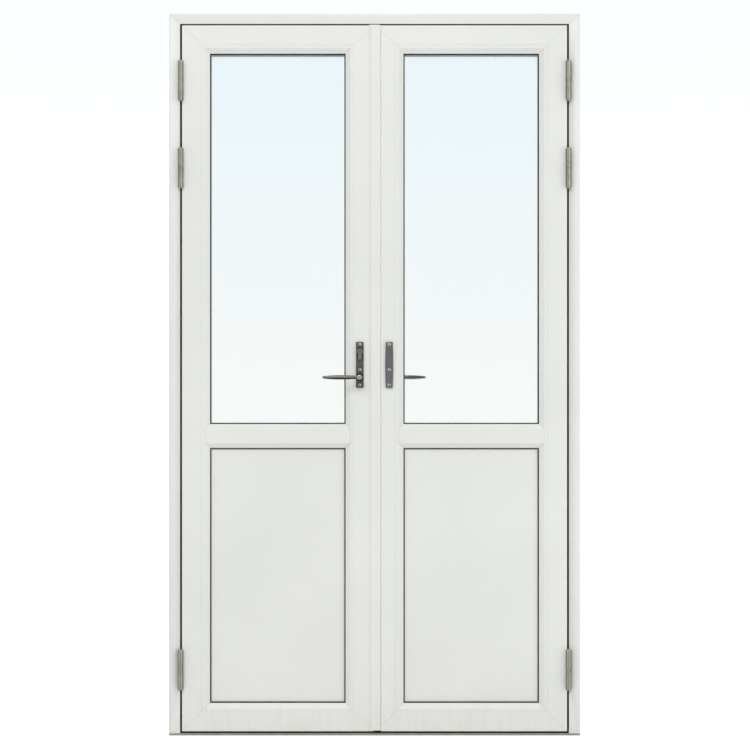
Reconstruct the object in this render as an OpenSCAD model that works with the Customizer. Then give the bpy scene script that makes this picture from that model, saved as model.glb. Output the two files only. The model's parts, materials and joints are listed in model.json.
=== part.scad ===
// Pair of glazed french doors in a rebated frame. The leaves open outward, towards -Y.
// Millimetres, +Z up. The origin is the middle of the threshold's underside.
// Depth inside the modules is counted from the outer face of the frame, into the building.

/* [Frame] */
// Overall width of the frame
frame_w = 1190; // [990:1:1990]
// Overall height of the frame
frame_h = 2090; // [1890:1:2510]
// Depth of the frame
frame_d = 115; // [105:1:200]
// Width of a jamb's face
jamb_face = 32; // [28:0.5:60]
// Height of the head's face
head_face = 30; // [26:0.5:60]
// How far the rebate's stop covers the edge of a leaf
stop_lap = 12; // [8:0.5:16]
// Depth of the aluminium cladding on the frame
frame_clad_d = 12; // [8:0.5:20]
// Width of the sloped arris along the cladding's outer edge
arris_w = 5; // [2:0.5:8]
// Height of the lowest fixing in a jamb
fixing_foot = 320; // [300:1:600]
// Height of the fixing below the levers
fixing_low = 859; // [700:1:950]
// Height of the fixing above the levers
fixing_high = 1239; // [1120:1:1300]
// Distance from the top of the frame to the highest fixing
fixing_top = 309; // [290:1:320]

/* [Threshold] */
// Height of the threshold under the leaves
sill_h = 6.5; // [6.5:0.5:12]
// Height of the threshold's stop behind the leaves
sill_stop_h = 25; // [22:0.5:30]

/* [Leaves] */
// Thickness of a leaf
leaf_t = 70; // [66:1:90]
// Gap between a leaf and the jamb
side_gap = 5.5; // [4.5:0.1:8]
// Gap between a leaf and the head
head_gap = 4; // [3:0.1:6]
// Gap between a leaf and the threshold
foot_gap = 5.5; // [4:0.1:8]
// Gap between the two profiles at the middle
meeting_gap = 7; // [6:0.5:12]
// Width of the flat part of the cladding profile
flat_w = 56; // [40:0.5:80]
// Width of the line pressed beside the flat
groove_w = 2.5; // [1.5:0.1:4]
// Width of the narrow flat beside that line
ledge_w = 7.5; // [4:0.5:12]
// Width of the slope down to the glass
slope_w = 14.5; // [10:0.5:18]
// Depth of the cladding in front of the timber
clad_d = 14; // [14:0.5:18]
// Wall of the aluminium profiles
clad_wall = 2; // [1.5:0.1:2.5]
// Height of the middle rail's lower edge above the floor
mid_z = 832; // [600:1:1000]
// Height of the middle rail between its two openings
mid_h = 69.5; // [60:0.5:120]

/* [Glazing] */
// Thickness of one pane
pane_t = 4; // [3:0.5:6]
// Space between two panes
cavity_t = 12; // [10:0.5:14]
// How far the panes and the panel reach behind the cladding
edge_cover = 15; // [12:0.5:16]
// Width of the spacer bar between the panes
spacer_w = 12; // [8:0.5:14]
// Thickness of the panel's aluminium skins
skin_t = 2; // [1:0.5:3]
// Visible width of the outer gasket
gasket_w = 3.5; // [2:0.1:5]

/* [Cover strip] */
// Width of the cover strip over the meeting edges
strip_w = 32.4; // [28:0.1:36]
// How far the strip stands proud of the leaves
strip_t = 4; // [2:0.5:6]
// Width of the sloped edges of the strip
strip_slope = 6.5; // [3:0.5:8]
// Gap between the strip and the passive leaf
strip_gap = 1.1; // [0.8:0.1:2]
// Distance from the middle of the pair to the strip's far edge
strip_x = 17.1; // [16:0.1:18]

/* [Hinges] */
// Diameter of a hinge knuckle
knuckle_dia = 15.5; // [12:0.5:18]
// Length of a whole hinge knuckle
knuckle_len = 119; // [90:1:150]
// Diameter of a hinge pin
pin_dia = 8; // [6:0.5:9]
// Radial running clearance of the pin in the leaf half
pin_play = 0.05; // [0.02:0.01:0.1]
// Thickness of a hinge flap
flap_t = 2.5; // [2:0.1:3]
// Depth of a hinge flap in the gap
flap_d = 45; // [30:1:60]
// Distance from the leaf's foot to the middle of the lowest hinge
hinge_foot = 180; // [120:0.5:260]
// Distance from the leaf's top to the middle of the highest hinge
hinge_top = 161; // [120:1:260]
// Distance between the two upper hinges
hinge_pair = 253; // [180:1:400]

/* [Handles] */
// Height of the lever's axis above the floor
lever_z = 1037; // [900:1:1100]
// Distance from the middle of the pair to a lever's axis
lever_in = 42.5; // [40:0.5:46]
// Length of a lever from its axis to its tip
lever_len = 110; // [90:1:140]
// Distance from a leaf's face to the lever's centre line
lever_out = 48; // [40:1:60]
// Greatest thickness of a lever
lever_t = 13; // [10:0.5:16]
// Width of a handle plate
plate_w = 22; // [20:0.5:26]
// Height of a handle plate
plate_h = 132.5; // [120:0.5:160]
// Thickness of a handle plate
plate_t = 7; // [5:0.5:9]
// Distance from the plate's foot up to the lever's axis
plate_foot = 30.5; // [26:0.5:40]
// Diameter of a lever's hub in the plate
hub_dia = 17.9; // [16:0.1:19]
// Side of the square spindle
spindle = 7; // [6:0.5:8]
// Distance from the lever's axis up to the lock cylinder
cylinder_up = 75; // [70:1:85]

/* [Espagnolettes] */
// Diameter of a shoot rod
rod_dia = 6; // [5:0.5:7]
// Distance from the spindle's axis to a rod's axis
crank = 12; // [11.5:0.5:12]
// Clearance round a rod in its bores
rod_gap = 0.5; // [0.4:0.1:0.8]
// Depth of the timber hollowed for a gear case
case_t = 16; // [14:0.5:18]
// Height of a gear case
case_h = 180; // [170:1:200]
// Distance from the foot of a gear case up to the lever's axis
case_foot = 52; // [45:1:60]

/* [Hidden] */
$fn = 48;

white = "#e8e8e3";
timber = "#efece4";
alloy = "#b3b0a6";
rubber = "#26282a";
zinc = "#8f8d80";
pewter = "#6b6a65";
steel = "#a8aaac";

// Planes and edges of the frame. Left-hand values: the right-hand side mirrors them
face_y = -frame_d / 2;
jamb_x = jamb_face - frame_w / 2;
stop_x = jamb_x + side_gap + stop_lap;
head_z = frame_h - head_face;
stop_y = leaf_t + 4;
stop_top_z = head_z - head_gap - stop_lap;
seal_slack = 0.3;

// Edges of a leaf
leaf_x = jamb_x + side_gap;
meet_x = -meeting_gap / 2;
leaf_z = sill_h + foot_gap;
top_z = head_z - head_gap;
ledge_x = flat_w + groove_w;
slope_x = ledge_x + ledge_w;
profile_w = slope_x + slope_w;
slope_d = 10;
lip_d = 12;
lip_w = 4.5;
leg_t = 2;
groove_d = 0.9;
moulding = 8;
end_play = 3.5;
pocket = profile_w - edge_cover - end_play;
back_cover = profile_w - pocket;
open_l = leaf_x + profile_w;
open_r = meet_x - profile_w;
mid_top = mid_z + mid_h;
glass_top = top_z - profile_w;
panel_foot = leaf_z + profile_w;

// Depths of the glazing
gasket_t = 3;
unit_d = lip_d + gasket_t;
unit_t = 3 * pane_t + 2 * cavity_t;
lip_y = unit_d + unit_t + gasket_t;

// Meeting edges: the active leaf's timber edge, and the passive leaf's edge at its face and its back
active_x = 10;
passive_x = strip_x + strip_gap;
passive_bevel = 5.2;
passive_back_x = passive_x + passive_bevel;
function edge_x(s) = s < 0 ? active_x : -passive_back_x;

// Hinges
pivot_x = jamb_x + side_gap / 2;
pivot_y = -knuckle_dia / 2 - 0.55;
end_h = 2.8;
hinge_zs = [leaf_z + hinge_foot, top_z - hinge_top - hinge_pair, top_z - hinge_top];
split_gap = 0.3;
half_len = knuckle_len / 2 - split_gap;
pin_reach = knuckle_len * 0.36;
pin_r = pin_dia / 2;
flap_screws = [[20, 44], [29, 16], [38, 38]];

// Handles and espagnolettes
lever_x = -lever_in;
plate_z = lever_z - plate_foot;
screw_zs = [plate_z + 8.5, lever_z + 22, plate_z + plate_h - 7];
cylinder_z = lever_z + cylinder_up;
barrel_r = 8.5;
stem_r = 5;
stem_drop = 19.5;
collar_w = 19.6;
collar_h = 41;
collar_t = 2.5;
rod_r = rod_dia / 2;
rod_y = 44;
case_y = rod_y - case_t / 2;
throw = crank * sqrt(2);
rod_rest = 2;
rod_foot = 6;
case_z = lever_z - case_foot;
case_back = crank + 6.5;
case_wall = 1.5;
plate_depth = 2;
plate_over = 30;
face_lo = case_z - plate_over;
face_hi = case_z + case_h + plate_over;

// Frame fixings
fixing_zs = [fixing_foot, fixing_low, fixing_high, frame_h - fixing_top];
sleeve_r = 7;
fixing_r = 4;

module in_frame() translate([0, face_y, 0]) children();

// Draws its children for the left leaf (-1) or mirrored for the right leaf (1)
module on_side(s) {
    in_frame()
        if (s < 0) children();
        else mirror([1, 0, 0]) children();
}

module block(lo, hi) translate(lo) cube(hi - lo);

// Box with round corners along its depth
module rounded_plate(x, z, w, h, y0, y1, r) {
    block([x - w / 2 + r, y0, z], [x + w / 2 - r, y1, z + h]);
    block([x - w / 2, y0, z + r], [x + w / 2, y1, z + h - r]);
    for (cx = [x - w / 2 + r, x + w / 2 - r], cz = [z + r, z + h - r]) bar_y(cx, cz, y0, y1, r);
}

// Round bar along the depth
module bar_y(x, z, y0, y1, r) translate([x, y0, z]) rotate([-90, 0, 0]) cylinder(r = r, h = y1 - y0);

// Prism of an outline in the X-Z plane
module slab(points, y0, y1) translate([0, y1, 0]) rotate([90, 0, 0]) linear_extrude(y1 - y0) polygon(points);

// Turns a stile's shape into a rail's: widths go up, lengths go along X
module as_rail() mirror([1, 0, -1]) children();

// ---- Screws ----
screw_r = 2;
screw_head_r = 4;

// Countersunk screw with its head's face at the origin, driven along +X
module screw(len, slot = true) rotate([0, 90, 0]) difference() {
    union() {
        cylinder(r1 = screw_head_r, r2 = screw_r, h = flap_t);
        cylinder(r = screw_r, h = len);
    }
    if (slot) translate([-3, -0.5, -1]) cube([6, 1, 2]);
}

module leaf_flap_screws(slot = true) for (z = hinge_zs, p = flap_screws)
    translate([leaf_x, p[0], z + p[1]]) screw(25, slot);
module frame_flap_screws(slot = true) for (z = hinge_zs, p = flap_screws)
    translate([jamb_x, p[0], z - p[1]]) rotate([0, 0, 180]) screw(25, slot);
module face_screws(slot = true) for (z = screw_zs)
    translate([lever_x, -plate_t, z]) rotate([0, 0, 90]) screw(34, slot);
module back_screws(slot = true) for (z = screw_zs)
    translate([lever_x, leaf_t + plate_t, z]) rotate([0, 0, -90]) screw(18 + plate_t / 2, slot);

// ---- Hinges ----
module knuckle(z0, z1) translate([pivot_x, pivot_y, z0]) cylinder(d = knuckle_dia, h = z1 - z0);

// Rounded end of a knuckle, pointing up or down
module knuckle_end(z, up) translate([pivot_x, pivot_y, z]) mirror([0, 0, up ? 0 : 1]) {
    cylinder(r1 = knuckle_dia / 2, r2 = knuckle_dia / 2 - 1.2, h = 1.2);
    cylinder(r = knuckle_dia / 2 - 3, h = end_h);
}

module leaf_flap(z, grow = 0)
    block([leaf_x, pivot_y, z + split_gap],
        [leaf_x + flap_t, flap_d + grow * 0.3, z + half_len - end_h]);
module frame_flap(z, grow = 0)
    block([jamb_x - flap_t, pivot_y, z - half_len + end_h],
        [jamb_x, flap_d + grow * 0.3, z - split_gap]);

module leaf_halves(s) color(zinc) on_side(s) for (z = hinge_zs) difference() {
    union() {
        knuckle(z + split_gap, z + half_len - end_h);
        knuckle_end(z + half_len - end_h, true);
        leaf_flap(z);
    }
    translate([pivot_x, pivot_y, z]) cylinder(r = pin_r + pin_play, h = pin_reach);
    leaf_flap_screws(false);
}
module hinge_frame_halves() color(zinc) for (s = [-1, 1]) on_side(s) for (z = hinge_zs) difference() {
    union() {
        knuckle(z - half_len + end_h, z - split_gap);
        knuckle_end(z - half_len + end_h, false);
        frame_flap(z);
    }
    translate([pivot_x, pivot_y, z - pin_reach]) cylinder(r = pin_r, h = pin_reach);
    frame_flap_screws(false);
}
module hinge_pins() color(steel) for (s = [-1, 1]) on_side(s) for (z = hinge_zs)
    translate([pivot_x, pivot_y, z - pin_reach]) cylinder(r = pin_r, h = 2 * pin_reach - 2);

// ---- Frame ----
module fixing_bores(r) for (z = fixing_zs)
    translate([-frame_w / 2 - 1, rod_y, z]) rotate([0, 90, 0]) cylinder(r = r, h = jamb_face + 2);

module jamb(s) color(timber) on_side(s) difference() {
    union() {
        block([-frame_w / 2, frame_clad_d, sill_h], [jamb_x, frame_d, head_z]);
        block([jamb_x, stop_y, sill_h], [stop_x, frame_d, head_z]);
    }
    fixing_bores(sleeve_r);
    for (z = hinge_zs) frame_flap(z, 1);
    frame_flap_screws(false);
}
module jamb_left() jamb(-1);
module jamb_right() jamb(1);

// Bores for the shoot rods in the head or the threshold, one for each leaf
module rod_bores(x, z0, z1, r) for (sx = [x, -x]) translate([sx, rod_y, z0]) cylinder(r = r, h = z1 - z0);
upper_rod_x = lever_x + crank;
lower_rod_x = lever_x - crank;
keep_r = 8;
keep_h = 5;
bore_r = rod_r + 1;

module head() color(timber) in_frame() difference() {
    union() {
        block([-frame_w / 2, frame_clad_d, head_z], [frame_w / 2, frame_d, frame_h]);
        block([stop_x, stop_y, stop_top_z], [-stop_x, frame_d, head_z]);
    }
    rod_bores(upper_rod_x, head_z - 1, head_z + keep_h, keep_r);
    rod_bores(upper_rod_x, head_z, head_z + throw - 1, bore_r);
}

// Extruded threshold: a low front under the leaves and a stop behind them, both hollow
module threshold() color(alloy) in_frame() difference() {
    union() {
        block([-frame_w / 2, 0, 0], [frame_w / 2, frame_d, sill_h]);
        block([stop_x, stop_y, sill_h], [-stop_x, frame_d, sill_stop_h]);
    }
    for (y = [[4, 32], [56, 70]]) block([-frame_w, y[0], 2], [frame_w, y[1], sill_h - 2]);
    block([-frame_w, stop_y + 5, 3], [frame_w, frame_d - 4, sill_h - 2]);
    block([-frame_w, stop_y + 5, sill_h + 1], [frame_w, frame_d - 4, sill_stop_h - 3]);
    rod_bores(lower_rod_x, sill_h - keep_h, sill_h + 1, keep_r);
    rod_bores(lower_rod_x, 0.5, sill_h, bore_r);
}

// Turned bushes that take the ends of the rods
module keeps() color(steel) in_frame() difference() {
    union() {
        rod_bores(upper_rod_x, head_z, head_z + keep_h, keep_r);
        rod_bores(lower_rod_x, sill_h - keep_h, sill_h, keep_r);
    }
    rod_bores(upper_rod_x, head_z - 1, head_z + keep_h + 1, bore_r);
    rod_bores(lower_rod_x, sill_h - keep_h - 1, sill_h + 1, bore_r);
}

module frame_clad_section(face) polygon([[0, frame_clad_d], [0, 1.5], [arris_w, 0], [face, 0],
    [face, frame_clad_d], [face - clad_wall, frame_clad_d], [face - clad_wall, clad_wall],
    [arris_w, clad_wall], [clad_wall, clad_wall + 0.6], [clad_wall, frame_clad_d]]);

module frame_cladding() color(white) {
    for (s = [-1, 1]) on_side(s) difference() {
        translate([-frame_w / 2, 0, 0]) intersection() {
            translate([0, 0, sill_h]) linear_extrude(frame_h - sill_h) frame_clad_section(jamb_face);
            slab([[0, 0], [0, frame_h - mitre], [jamb_face, head_z - mitre], [jamb_face, 0]],
                0, frame_clad_d);
        }
        for (z = hinge_zs) frame_flap(z, 1);
    }
    in_frame() translate([-frame_w / 2, 0, frame_h]) mirror([0, 0, 1]) intersection() {
        as_rail() linear_extrude(frame_w) frame_clad_section(head_face);
        slab([[mitre, 0], [frame_w - mitre, 0], [frame_w - jamb_face - mitre, head_face],
            [jamb_face + mitre, head_face]], 0, frame_clad_d);
    }
}

// Weatherstrips on the face of the stop
seal_w = 8;
module rebate_seals() color(rubber) {
    y = [leaf_t + seal_slack, stop_y];
    for (s = [-1, 1]) on_side(s)
        block([stop_x - seal_w - 1, y[0], sill_stop_h - seal_w - 1],
            [stop_x - 1, y[1], stop_top_z + seal_w + 1]);
    in_frame() {
        block([stop_x - 1, y[0], stop_top_z + 1], [1 - stop_x, y[1], stop_top_z + seal_w + 1]);
        block([stop_x - 1, y[0], sill_stop_h - seal_w - 1], [1 - stop_x, y[1], sill_stop_h - 1]);
    }
}

module fixing_sleeves() color(steel) for (s = [-1, 1]) on_side(s) difference() {
    for (z = fixing_zs) translate([-frame_w / 2, rod_y, z]) rotate([0, 90, 0])
        cylinder(r = sleeve_r, h = jamb_face - 1);
    fixing_bores(fixing_r);
}

module frame_screws() color(steel) for (s = [-1, 1]) on_side(s) frame_flap_screws();

// ---- Timber of a leaf ----
// Section of a stile from its outer edge at 0 towards the opening
module timber_section(edge = 0) polygon([[edge, clad_d], [pocket, clad_d], [pocket, lip_y],
    [profile_w, lip_y], [profile_w, leaf_t - moulding], [profile_w - moulding, leaf_t], [edge + 2, leaf_t],
    [edge, leaf_t - 2]]);

module stile_prism() translate([0, 0, leaf_z]) linear_extrude(top_z - leaf_z) children();

module hinge_stile_body() translate([leaf_x, 0, 0]) stile_prism() timber_section();

// The active leaf's lock stile has a square edge. The passive leaf's is bevelled so that it can swing
module lock_stile_body(s) stile_prism()
    if (s < 0) translate([meet_x, 0]) mirror([1, 0]) timber_section(meet_x - active_x);
    else polygon([[meet_x - pocket, clad_d], [meet_x - pocket, lip_y], [open_r, lip_y],
        [open_r, leaf_t - moulding], [open_r + moulding, leaf_t], [-passive_back_x, leaf_t],
        [-passive_x - (passive_back_x - passive_x) * clad_d / leaf_t, clad_d]]);

module hinge_stile(s) color(timber) on_side(s) difference() {
    hinge_stile_body();
    for (z = hinge_zs) leaf_flap(z, 1);
    leaf_flap_screws(false);
}

// Hollows for the gear case, the rods, the spindle, the lock cylinder and the screws
module lock_stile(s) color(timber) on_side(s) difference() {
    lock_stile_body(s);
    block([lever_x - case_back, case_y, case_z], [edge_x(s) + 1, case_y + case_t, case_z + case_h]);
    block([edge_x(s) - plate_depth, case_y, face_lo], [edge_x(s) + 1, case_y + case_t, face_hi]);
    translate([upper_rod_x, rod_y, lever_z]) cylinder(r = rod_r + rod_gap, h = frame_h);
    translate([lower_rod_x, rod_y, 0]) cylinder(r = rod_r + rod_gap, h = lever_z);
    bar_y(lever_x, lever_z, 0, leaf_t + 1, spindle * 0.8);
    face_screws(false);
    back_screws(false);
    if (s < 0) euro_profile(0, leaf_t + 1, 0.3);
}

module end_rails(s) color(timber) on_side(s) difference() {
    for (top = [false, true]) translate([meet_x - pocket, 0, top ? top_z : leaf_z])
        mirror([0, 0, top ? 1 : 0]) mirror([1, 0, 0]) as_rail()
            linear_extrude(meet_x - leaf_x - 2 * pocket) timber_section();
    hinge_stile_body();
    lock_stile_body(s);
}

module mid_rail(s) color(timber) on_side(s) difference() {
    translate([leaf_x + pocket, 0, mid_z]) as_rail() linear_extrude(meet_x - leaf_x - 2 * pocket)
        polygon([[back_cover, clad_d], [mid_h - back_cover, clad_d], [mid_h - back_cover, lip_y],
            [mid_h, lip_y], [mid_h, leaf_t - moulding], [mid_h - moulding, leaf_t], [moulding, leaf_t],
            [0, leaf_t - moulding], [0, lip_y], [back_cover, lip_y]]);
    hinge_stile_body();
    lock_stile_body(s);
}

// ---- Aluminium cladding of a leaf ----
// Section from the outer edge at w0 to the glass: flat, pressed line, ledge, slope and gasket lip
module clad_section(w0 = 0) polygon([[w0, clad_d], [w0, 1], [w0 + 1, 0], [flat_w, 0],
    [flat_w + 0.4, groove_d], [ledge_x - 0.4, groove_d], [ledge_x, 0], [slope_x, 0],
    [profile_w, slope_d], [profile_w, lip_d], [profile_w - lip_w, lip_d],
    [profile_w - lip_w, slope_back(slope_w - lip_w)], [slope_x - 0.5, clad_wall],
    [pocket - leg_t, clad_wall], [pocket - leg_t, clad_d], [pocket - 2 * leg_t, clad_d],
    [pocket - 2 * leg_t, clad_wall],
    [w0 + clad_wall, clad_wall], [w0 + clad_wall, clad_d]]);
function slope_back(w) = clad_wall + slope_d * w / slope_w;

// Hairline left between two mitred profiles
mitre = 0.15;

// One profile along Z, mitred at both ends
module clad_member(len, w0 = 0) intersection() {
    linear_extrude(len) clad_section(w0);
    slab([[-1, mitre - 1], [-1, len + 1 - mitre], [profile_w, len - profile_w - mitre],
        [profile_w, profile_w + mitre]], 0, clad_d);
}

module clad_ring(s) {
    height = top_z - leaf_z;
    width = meet_x - leaf_x;
    translate([leaf_x, 0, leaf_z]) clad_member(height);
    translate([meet_x, 0, leaf_z]) mirror([1, 0, 0]) clad_member(height, s < 0 ? 0 : passive_x + meet_x);
    for (top = [false, true]) intersection() {
        translate([leaf_x, 0, top ? top_z : leaf_z]) mirror([0, 0, top ? 1 : 0])
            as_rail() clad_member(width);
        if (s > 0) block([leaf_x, 0, 0], [-passive_x, clad_d, frame_h]);
    }
}

// Front outline of the middle profile: it ends on the stiles' ledges and its slopes are mitred
module mid_outline(g = 0) slab([
    [leaf_x + slope_x + g, mid_z + slope_w + g], [leaf_x + slope_x + g, mid_top - slope_w - g],
    [open_l + g, mid_top], [open_l + g, mid_top + 1], [open_r - g, mid_top + 1], [open_r - g, mid_top],
    [meet_x - slope_x - g, mid_top - slope_w - g], [meet_x - slope_x - g, mid_z + slope_w + g],
    [open_r - g, mid_z], [open_r - g, mid_z - 1], [open_l + g, mid_z - 1], [open_l + g, mid_z]],
    -1, clad_d - g);

module cladding(s) color(white) on_side(s) difference() {
    clad_ring(s);
    mid_outline();
    for (z = hinge_zs) leaf_flap(z, 1);
    bar_y(lever_x, lever_z, -1, clad_d, spindle * 0.8);
    for (z = screw_zs) bar_y(lever_x, z, -1, clad_d, screw_r + 0.3);
    if (s < 0) euro_profile(-1, clad_d, 0.3);
}

module mid_cladding(s) color(white) on_side(s) intersection() {
    translate([leaf_x, 0, mid_z]) as_rail() linear_extrude(meet_x - leaf_x) mid_section();
    mid_outline(mitre * 2);
}
module mid_section() {
    w = slope_w - lip_w;
    leg_d = clad_d - 2 * mitre;
    polygon([[0, lip_d], [0, slope_d], [slope_w, 0], [mid_h - slope_w, 0], [mid_h, slope_d], [mid_h, lip_d],
        [mid_h - lip_w, lip_d], [mid_h - lip_w, slope_back(w)], [mid_h - slope_w - 0.5, clad_wall],
        [mid_h - back_cover - leg_t, clad_wall], [mid_h - back_cover - leg_t, leg_d],
        [mid_h - back_cover - 2 * leg_t, leg_d], [mid_h - back_cover - 2 * leg_t, clad_wall],
        [back_cover + 2 * leg_t, clad_wall], [back_cover + 2 * leg_t, leg_d], [back_cover + leg_t, leg_d],
        [back_cover + leg_t, clad_wall], [slope_w + 0.5, clad_wall], [lip_w, slope_back(w)],
        [lip_w, lip_d]]);
}

// ---- Glazing and panel ----
openings = [[mid_top, glass_top], [panel_foot, mid_z]];

// Sheet that fills an opening and its edge cover
module sheet(o, y0, y1, inset = 0) block(
    [open_l - edge_cover + inset, y0, o[0] - edge_cover + inset],
    [open_r + edge_cover - inset, y1, o[1] + edge_cover - inset]);

module glass(s) color([0.86, 0.94, 0.98, 0.5]) on_side(s)
    for (i = [0:2]) sheet(openings[0], pane_y(i), pane_y(i) + pane_t);
function pane_y(i) = unit_d + i * (pane_t + cavity_t);

// Four strips round an opening, butted at the corners: inner edge at -a, outer edge at b beyond the opening
module strips(o, y0, y1, a, b) {
    for (x = [[open_l - b, open_l + a], [open_r - a, open_r + b]])
        block([x[0], y0, o[0] - b], [x[1], y1, o[1] + b]);
    for (z = [[o[0] - b, o[0] + a], [o[1] - a, o[1] + b]])
        block([open_l + a, y0, z[0]], [open_r - a, y1, z[1]]);
}

spacer_in = edge_cover - 4.5;
module spacers(s) color(alloy) on_side(s) for (i = [0, 1])
    strips(openings[0], pane_y(i) + pane_t, pane_y(i + 1), spacer_w - spacer_in, spacer_in);

// Outer gasket section, from under the lip to the visible nose
module gasket_section() polygon([[profile_w - 6, lip_d], [profile_w, lip_d], [profile_w, slope_d + 0.4],
    [profile_w + gasket_w * 0.5, slope_d], [profile_w + gasket_w, slope_d + 1.4],
    [profile_w + gasket_w, unit_d], [profile_w - 6, unit_d]]);

module gasket_member(len) intersection() {
    linear_extrude(len) gasket_section();
    slab([[0, 0], [0, len], [profile_w + 10, len - profile_w - 10], [profile_w + 10, profile_w + 10]],
        0, unit_d);
}

// Outer gaskets mitred round each opening, and flat inner strips against the timber
module gaskets(s) color(rubber) on_side(s) for (o = openings) {
    z0 = o[0] - profile_w;
    z1 = o[1] + profile_w;
    translate([leaf_x, 0, z0]) gasket_member(z1 - z0);
    translate([meet_x, 0, z0]) mirror([1, 0, 0]) gasket_member(z1 - z0);
    translate([leaf_x, 0, z0]) as_rail() gasket_member(meet_x - leaf_x);
    translate([leaf_x, 0, z1]) mirror([0, 0, 1]) as_rail() gasket_member(meet_x - leaf_x);
    strips(o, unit_d + unit_t, lip_y, 0, 12);
}

block_len = 100;
module setting_blocks(s) color(rubber) on_side(s)
    for (o = openings, x = [open_l + 20, open_r - 20 - block_len]) block(
        [x, unit_d, o[0] - back_cover], [x + block_len, unit_d + unit_t, o[0] - edge_cover]);

module panel_skins(s) color(white) on_side(s) {
    sheet(openings[1], unit_d, unit_d + skin_t);
    sheet(openings[1], unit_d + unit_t - skin_t, unit_d + unit_t);
}
module panel_core(s) color("#d9cfae") on_side(s)
    sheet(openings[1], unit_d + skin_t, unit_d + unit_t - skin_t);

// ---- Cover strip and meeting seal, carried by the active leaf ----
strip_end = 3;
module strip_prism() in_frame() translate([0, 0, leaf_z + strip_end])
    linear_extrude(top_z - leaf_z - 2 * strip_end) children();

module cover_strip() color(white) strip_prism()
    polygon([[strip_x - strip_w, 0], [strip_x - strip_w, -0.8], [strip_x - strip_w + strip_slope, -strip_t],
        [strip_x - strip_slope, -strip_t], [strip_x, -0.8], [strip_x, 0.2], [active_x, 0.2],
        [active_x, clad_d], [active_x - 2, clad_d], [active_x - 2, 2], [meet_x + 2.2, 2],
        [meet_x + 2.2, clad_d], [meet_x + 0.2, clad_d], [meet_x + 0.2, 0]]);
module meeting_seal() color(rubber) strip_prism()
    polygon([[active_x, leaf_t - 14], [active_x + 2.4, leaf_t - 13], [active_x + 3.2, leaf_t - 10],
        [active_x + 2.4, leaf_t - 7], [active_x, leaf_t - 6]]);

// ---- Espagnolettes ----
module faceplate(s) color(steel) on_side(s)
    block([edge_x(s) - plate_depth, case_y, face_lo], [edge_x(s), case_y + case_t, face_hi]);

// Gear case: a tray and its lid, with ways through for the spindle, the rods and the lock cylinder
module case(s) color(steel) on_side(s) {
    x = [lever_x - case_back, edge_x(s) - plate_depth];
    difference() {
        block([x[0], case_y, case_z], [x[1], case_y + case_t, case_z + case_h]);
        block([x[0] + case_wall, case_y + case_wall, case_z + case_wall],
            [x[1] - case_wall, case_y + case_t - case_wall, case_z + case_h - case_wall]);
        block([x[0] - 1, case_y + case_t - case_wall, case_z - 1],
            [x[1] + 1, case_y + case_t - case_wall + 0.2, case_z + case_h + 1]);
        bar_y(lever_x, lever_z, case_y - 1, case_y + case_t + 1, spindle * 0.8);
        translate([upper_rod_x, rod_y, lever_z]) cylinder(r = rod_r + rod_gap, h = frame_h);
        translate([lower_rod_x, rod_y, 0]) cylinder(r = rod_r + rod_gap, h = lever_z);
        if (s < 0) euro_profile(case_y - 1, case_y + case_t + 1, 0.3);
    }
}

// Crank disc with two studs that lift one rod and lower the other
stud_r = 2;
disc_y = case_y + 2.5;
disc_t = 3;
stud_at = crank * sqrt(0.5);
module follower(s) color(steel) on_side(s) difference() {
    union() {
        bar_y(lever_x, lever_z, disc_y, disc_y + disc_t, crank + stud_r + 1);
        for (m = [-stud_at, stud_at]) bar_y(lever_x - m, lever_z + m, disc_y, rod_y + 2, stud_r);
    }
    translate([lever_x, rod_y, lever_z]) cube([spindle, 3 * case_t, spindle], center = true);
}

// Forked end of the upper rod: it takes the stud on the edge side
module fork() difference() {
    slot_r = stud_r + 0.5;
    block([spindle * sqrt(0.5) + 1.3, -2, -stud_at - 5], [crank + rod_r, 2, crank + 14]);
    block([0, -3, -stud_at - slot_r], [crank + slot_r, 3, -stud_at + slot_r]);
}
module upper_rod(s) color(steel) on_side(s) {
    translate([lever_x, rod_y, lever_z]) fork();
    translate([upper_rod_x, rod_y, lever_z + crank + 8])
        cylinder(r = rod_r, h = top_z - rod_rest - lever_z - crank - 8);
}
module lower_rod(s) color(steel) on_side(s) {
    translate([lever_x, rod_y, lever_z]) rotate([0, 180, 0]) fork();
    translate([lower_rod_x, rod_y, leaf_z + rod_foot])
        cylinder(r = rod_r, h = lever_z - crank - 8 - leaf_z - rod_foot);
}

// ---- Handles ----
module plate_body(y0, y1) rounded_plate(lever_x, plate_z, plate_w, plate_h, y0, y1, 3);

// Lever with its hub in the plate at y = 0 and its grip in front, pointing to -X
module lever_body() {
    bar_y(0, 0, -0.5, plate_t - 0.4, hub_dia / 2);
    bar_y(0, 0, -2, -0.2, 10.3);
    bar_y(0, 0, plate_t - lever_out, -1.5, 5.9);
    translate([0, plate_t - lever_out, 0]) {
        sphere(r = 6.6);
        rotate([0, -90, 0]) rotate_extrude() polygon(concat([[0, 0]],
            [for (i = [0:8]) [grip_r(i / 8), i / 8 * (lever_len - 2)]], [[0, lever_len]]));
    }
}
// Radius of the grip along its length: slim neck, full middle, tapered tip
full_at = 0.55;
function grip_r(t) = 5 + (lever_t / 2 - 5) * sin(min(t / full_at, 1) * 90)
    - (lever_t / 2 - 2.6) * pow(max(t - full_at, 0) / (1 - full_at), 2);

module outside_lever() color(pewter) on_side(-1) difference() {
    translate([lever_x, -plate_t, lever_z]) lever_body();
    block([lever_x - spindle / 2, -lever_out + 10, lever_z - spindle / 2],
        [lever_x + spindle / 2, 2, lever_z + spindle / 2]);
}

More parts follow.
